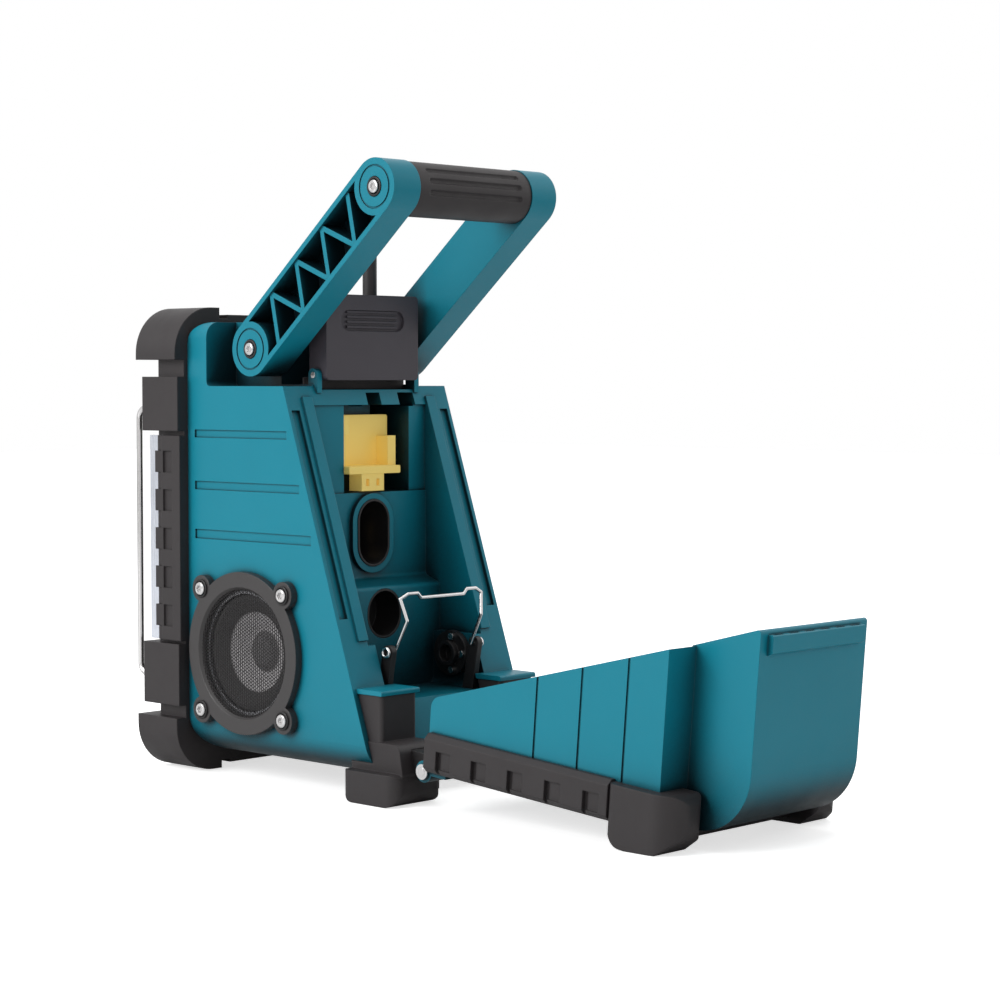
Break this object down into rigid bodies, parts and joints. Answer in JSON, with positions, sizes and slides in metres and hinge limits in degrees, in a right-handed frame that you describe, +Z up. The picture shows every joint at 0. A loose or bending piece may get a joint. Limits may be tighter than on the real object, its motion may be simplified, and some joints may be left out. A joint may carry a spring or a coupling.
{
  "type": "jobsite radio",
  "caption": "Portable jobsite radio with twin side speakers, rubber bumpers, folding carry handle, latch and a hinged rear battery cover.",
  "frame": {"origin": "on the ground under the middle of the closed footprint", "axes": "+Z up, +X to the right side, -Y to the display, +Y to the battery cover"},
  "size_m": [0.163, 0.5, 0.3887],
  "materials": {
    "teal_housing": "satin moulded plastic",
    "black_plastic": "fine matt grain",
    "black_rubber": "matt",
    "bright_steel": "bright plated",
    "silver_trim": "brushed",
    "circuit_board": "solder mask",
    "clear_window": "clear",
    "grille_steel": "black coated mesh",
    "paper_cone": "pressed paper",
    "magnet_steel": "plated",
    "yellow_plastic": "satin",
    "brass_contact": "bright",
    "grey_button": "soft"
  },
  "bodies": {
    "body": {"body_shell": "teal_housing", "dc_inlet": "black_plastic", "aux_socket": "black_plastic", "front_bumper": "black_rubber", "front_guard_right": "bright_steel", "front_guard_left": "bright_steel", "trim_strip_right": "silver_trim", "trim_strip_left": "silver_trim", "front_panel": "black_plastic", "circuit_board": "circuit_board", "display_module": "black_plastic", "display_window": "clear_window", "speaker_ring_right": "black_plastic", "speaker_ring_left": "black_plastic", "speaker_grille_right": "grille_steel", "speaker_grille_left": "grille_steel", "speaker_cone_right": "paper_cone", "speaker_cone_left": "paper_cone", "speaker_basket_right": "magnet_steel", "speaker_basket_left": "magnet_steel", "speaker_screws": "bright_steel", "battery_terminal": "yellow_plastic", "terminal_blades": "brass_contact", "pod_socket": "black_plastic", "pod_contacts": "brass_contact", "slide_socket": "black_plastic", "backup_plate": "black_plastic", "bay_screws": "bright_steel", "pivot_screws": "bright_steel", "latch_pin": "bright_steel", "antenna": "black_rubber", "antenna_base": "black_plastic", "bail_posts": "black_plastic", "hinge_bracket_right": "black_plastic", "hinge_bracket_left": "black_plastic", "hinge_pin": "bright_steel", "rear_boot_right": "black_rubber", "rear_boot_left": "black_rubber"},
    "knob": {"tuning_knob": "black_plastic"},
    "bail": {"battery_bail": "bright_steel"},
    "handle": {"handle_arm_right": "teal_housing", "handle_arm_left": "teal_housing", "handle_grip": "black_rubber", "grip_screws": "bright_steel"},
    "latch": {"latch_lever": "black_plastic"},
    "cover": {"cover_shell": "teal_housing", "cover_bar_right": "black_rubber", "cover_bar_left": "black_rubber", "cover_foot_right": "black_rubber", "cover_foot_left": "black_rubber", "cover_cross_bar": "black_rubber"},
    "key_1": {"button_1": "grey_button"},
    "key_2": {"button_2": "grey_button"},
    "key_3": {"button_3": "grey_button"},
    "key_4": {"button_4": "grey_button"},
    "key_5": {"button_5": "grey_button"},
    "key_6": {"button_6": "grey_button"},
    "key_7": {"button_7": "grey_button"},
    "key_8": {"button_8": "grey_button"},
    "key_9": {"button_9": "grey_button"}
  },
  "joints": [
    {"name": "cover_hinge", "type": "hinge", "parent": "body", "child": "cover", "pos_m": [0, 0.1257, 0.0247], "axis": [1, 0, 0], "range_deg": [0, 94.6]},
    {"name": "handle_pivot", "type": "hinge", "parent": "body", "child": "handle", "pos_m": [0, -0.02907, 0.27426], "axis": [1, 0, 0], "range_deg": [-47, 50]},
    {"name": "latch_hinge", "type": "hinge", "parent": "body", "child": "latch", "pos_m": [0, 0, 0.258], "axis": [1, 0, 0], "range_deg": [-90, 0]},
    {"name": "bail_swing", "type": "hinge", "parent": "body", "child": "bail", "pos_m": [0, 0.062, 0.0875], "axis": [1, 0, 0], "range_deg": [-60, 30]},
    {"name": "knob_turn", "type": "hinge", "parent": "body", "child": "knob", "pos_m": [0.034, -0.119, 0.092], "axis": [0, -1, 0], "continuous": true},
    {"name": "key_1_press", "type": "slide", "parent": "body", "child": "key_1", "axis": [0, 1, 0], "range_m": [0, 0.0008], "stiffness_N_per_m": 400},
    {"name": "key_2_press", "type": "slide", "parent": "body", "child": "key_2", "axis": [0, 1, 0], "range_m": [0, 0.0008], "stiffness_N_per_m": 400},
    {"name": "key_3_press", "type": "slide", "parent": "body", "child": "key_3", "axis": [0, 1, 0], "range_m": [0, 0.0008], "stiffness_N_per_m": 400},
    {"name": "key_4_press", "type": "slide", "parent": "body", "child": "key_4", "axis": [0, 1, 0], "range_m": [0, 0.0008], "stiffness_N_per_m": 400},
    {"name": "key_5_press", "type": "slide", "parent": "body", "child": "key_5", "axis": [0, 1, 0], "range_m": [0, 0.0008], "stiffness_N_per_m": 400},
    {"name": "key_6_press", "type": "slide", "parent": "body", "child": "key_6", "axis": [0, 1, 0], "range_m": [0, 0.0008], "stiffness_N_per_m": 400},
    {"name": "key_7_press", "type": "slide", "parent": "body", "child": "key_7", "axis": [0, 1, 0], "range_m": [0, 0.0008], "stiffness_N_per_m": 400},
    {"name": "key_8_press", "type": "slide", "parent": "body", "child": "key_8", "axis": [0, 1, 0], "range_m": [0, 0.0008], "stiffness_N_per_m": 400},
    {"name": "key_9_press", "type": "slide", "parent": "body", "child": "key_9", "axis": [0, 1, 0], "range_m": [0, 0.0008], "stiffness_N_per_m": 400}
  ]
}
